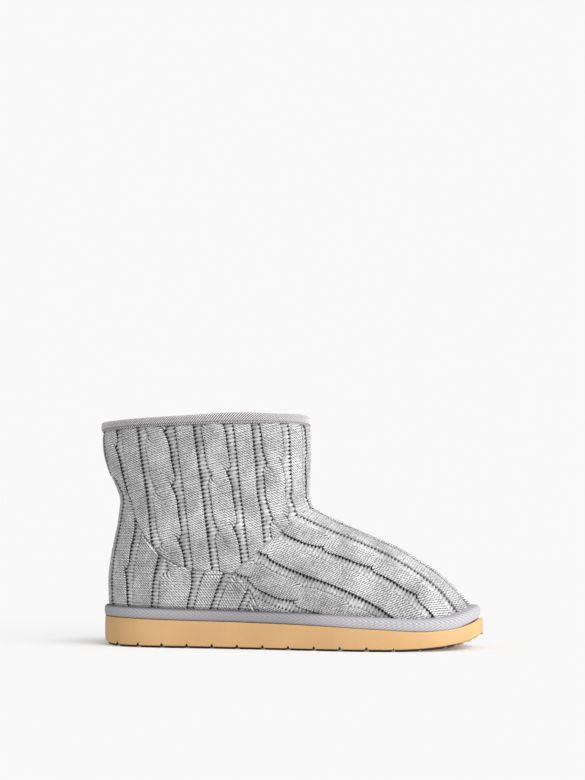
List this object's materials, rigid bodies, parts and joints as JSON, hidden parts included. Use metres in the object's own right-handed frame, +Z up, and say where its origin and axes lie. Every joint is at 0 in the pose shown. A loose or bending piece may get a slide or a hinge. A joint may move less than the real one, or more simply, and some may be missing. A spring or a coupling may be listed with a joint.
{
  "type": "sweater boot",
  "caption": "Ankle-high pull-on boot with a cable-knit upper, knitted heel counter, taped collar and foxing, and a grooved foam outsole.",
  "frame": {"origin": "middle of the footprint's box, on the floor under the sole", "axes": "+X points to the toe, +Z is up, and -Y is the outer side of the right foot"},
  "size_m": [0.271, 0.0984, 0.1603],
  "materials": {
    "sole_foam": "matte moulded foam",
    "woven_tape": "herringbone tape",
    "knit": "heathered cable knit",
    "lining": "brushed fleece"
  },
  "bodies": {
    "root": {"outsole": "sole_foam", "foxing_band": "woven_tape", "upper": "knit", "heel_counter": "knit", "collar_binding": "woven_tape", "insole": "lining"}
  },
  "joints": []
}
